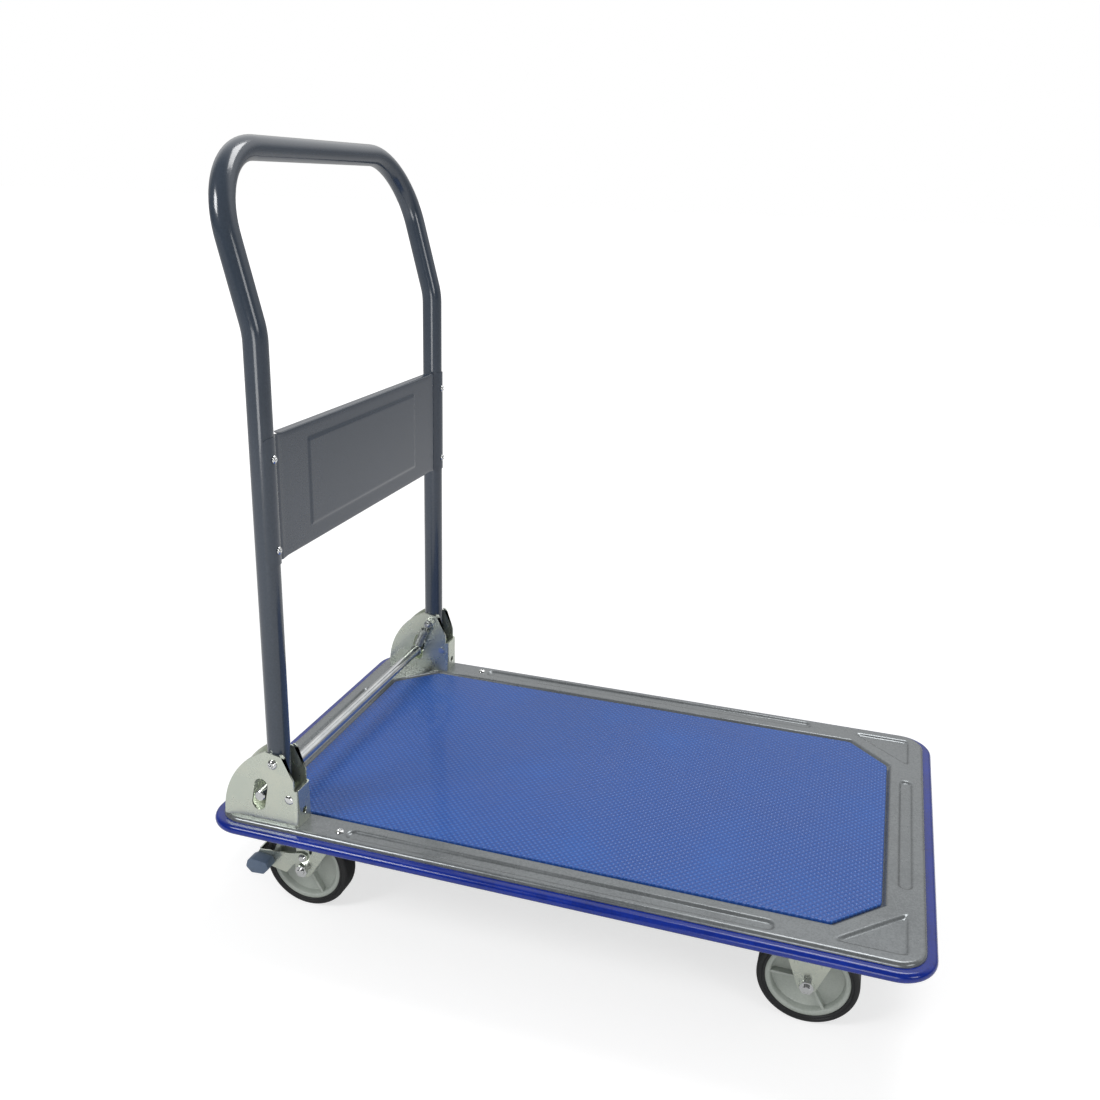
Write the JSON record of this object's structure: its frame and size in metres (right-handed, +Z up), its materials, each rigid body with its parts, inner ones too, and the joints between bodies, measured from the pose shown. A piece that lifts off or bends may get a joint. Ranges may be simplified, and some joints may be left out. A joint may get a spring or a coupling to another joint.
{
  "type": "folding platform cart",
  "caption": "Flat-deck platform cart with a blue mat and edge bumper, fold-down tubular handle, spring lock bar, fixed front casters and braked rear swivel casters.",
  "frame": {"origin": "on the floor under the middle of the deck", "axes": "+X along the deck to the free end, away from the handle; +Y to the left side; +Z up"},
  "size_m": [0.743, 0.465, 0.8157],
  "materials": {
    "deck_paint": "semi-gloss grey metallic paint",
    "mat_vinyl": "embossed blue vinyl mat",
    "bumper_vinyl": "glossy dark blue vinyl",
    "handle_paint": "glossy slate grey paint",
    "zinc_plate": "clear zinc plate, faint green cast",
    "bright_zinc": "bright zinc plated fasteners",
    "bright_bar": "bright plated bar",
    "spring_steel": "plated spring wire",
    "wheel_plastic": "satin pale grey-green polypropylene",
    "tyre_rubber": "black rubber",
    "pad_plastic": "blue-grey moulded plastic",
    "under_paint": "grey paint under the deck"
  },
  "bodies": {
    "deck": {"deck_pan": "deck_paint", "deck_mat": "mat_vinyl", "edge_bumper": "bumper_vinyl", "front_cross_member": "under_paint", "rear_cross_member": "under_paint", "side_rails": "under_paint", "deck_screws": "bright_zinc", "deck_nuts": "bright_zinc", "left_bracket": "zinc_plate", "right_bracket": "zinc_plate", "bracket_bolts": "bright_zinc", "bracket_nuts": "bright_zinc", "left_pivot_bolt": "bright_zinc", "right_pivot_bolt": "bright_zinc", "pivot_nuts": "bright_zinc", "stop_pins": "bright_zinc", "left_lock_spring": "spring_steel", "right_lock_spring": "spring_steel", "left_front_fork": "zinc_plate", "right_front_fork": "zinc_plate", "front_axle_bolts": "bright_zinc", "front_axle_nuts": "bright_zinc", "caster_bolts": "bright_zinc", "caster_nuts": "bright_zinc", "left_swivel_plate": "zinc_plate", "right_swivel_plate": "zinc_plate", "kingpins": "bright_zinc", "swivel_balls": "bright_zinc"},
    "handle": {"handle_tube": "handle_paint", "handle_panel": "handle_paint", "panel_screws": "bright_zinc"},
    "lock_bar": {"lock_bar": "bright_bar"},
    "left_swivel": {"left_swivel_fork": "zinc_plate", "left_rear_axle_bolt": "bright_zinc", "left_rear_axle_nut": "bright_zinc", "left_brake_rivets": "bright_zinc"},
    "left_brake": {"left_brake_lever": "zinc_plate", "left_brake_pad": "pad_plastic"},
    "right_swivel": {"right_swivel_fork": "zinc_plate", "right_rear_axle_bolt": "bright_zinc", "right_rear_axle_nut": "bright_zinc", "right_brake_rivets": "bright_zinc"},
    "right_brake": {"right_brake_lever": "zinc_plate", "right_brake_pad": "pad_plastic"},
    "left_front_wheel": {"left_front_core": "wheel_plastic", "left_front_tyre": "tyre_rubber", "left_front_bush": "bright_zinc"},
    "right_front_wheel": {"right_front_core": "wheel_plastic", "right_front_tyre": "tyre_rubber", "right_front_bush": "bright_zinc"},
    "left_rear_wheel": {"left_rear_core": "wheel_plastic", "left_rear_tyre": "tyre_rubber", "left_rear_bush": "bright_zinc"},
    "right_rear_wheel": {"right_rear_core": "wheel_plastic", "right_rear_tyre": "tyre_rubber", "right_rear_bush": "bright_zinc"}
  },
  "joints": [
    {"name": "handle_fold", "type": "hinge", "parent": "deck", "child": "handle", "pos_m": [-0.29085, 0, 0.2065], "axis": [0, 1, 0], "range_deg": [0, 97]},
    {"name": "lock_release", "type": "slide", "parent": "deck", "child": "lock_bar", "axis": [-0.179, 0, -0.9838], "range_m": [0, 0.0105], "stiffness_N_per_m": 900, "springref_m": -0.012, "deforming": ["left_lock_spring", "right_lock_spring"]},
    {"name": "left_caster_swivel", "type": "hinge", "parent": "deck", "child": "left_swivel", "pos_m": [-0.261, 0.152, 0.11], "axis": [0, 0, 1], "continuous": true},
    {"name": "left_brake_press", "type": "hinge", "parent": "left_swivel", "child": "left_brake", "pos_m": [-0.289, 0.152, 0.065], "axis": [0, -1, 0], "range_deg": [0, 11.5]},
    {"name": "left_rear_roll", "type": "hinge", "parent": "left_swivel", "child": "left_rear_wheel", "pos_m": [-0.289, 0.152, 0.05], "axis": [0, 1, 0], "continuous": true},
    {"name": "left_front_roll", "type": "hinge", "parent": "deck", "child": "left_front_wheel", "pos_m": [0.261, 0.152, 0.05], "axis": [0, 1, 0], "continuous": true},
    {"name": "right_caster_swivel", "type": "hinge", "parent": "deck", "child": "right_swivel", "pos_m": [-0.261, -0.152, 0.11], "axis": [0, 0, 1], "continuous": true},
    {"name": "right_brake_press", "type": "hinge", "parent": "right_swivel", "child": "right_brake", "pos_m": [-0.289, -0.152, 0.065], "axis": [0, -1, 0], "range_deg": [0, 11.5]},
    {"name": "right_rear_roll", "type": "hinge", "parent": "right_swivel", "child": "right_rear_wheel", "pos_m": [-0.289, -0.152, 0.05], "axis": [0, 1, 0], "continuous": true},
    {"name": "right_front_roll", "type": "hinge", "parent": "deck", "child": "right_front_wheel", "pos_m": [0.261, -0.152, 0.05], "axis": [0, 1, 0], "continuous": true}
  ]
}
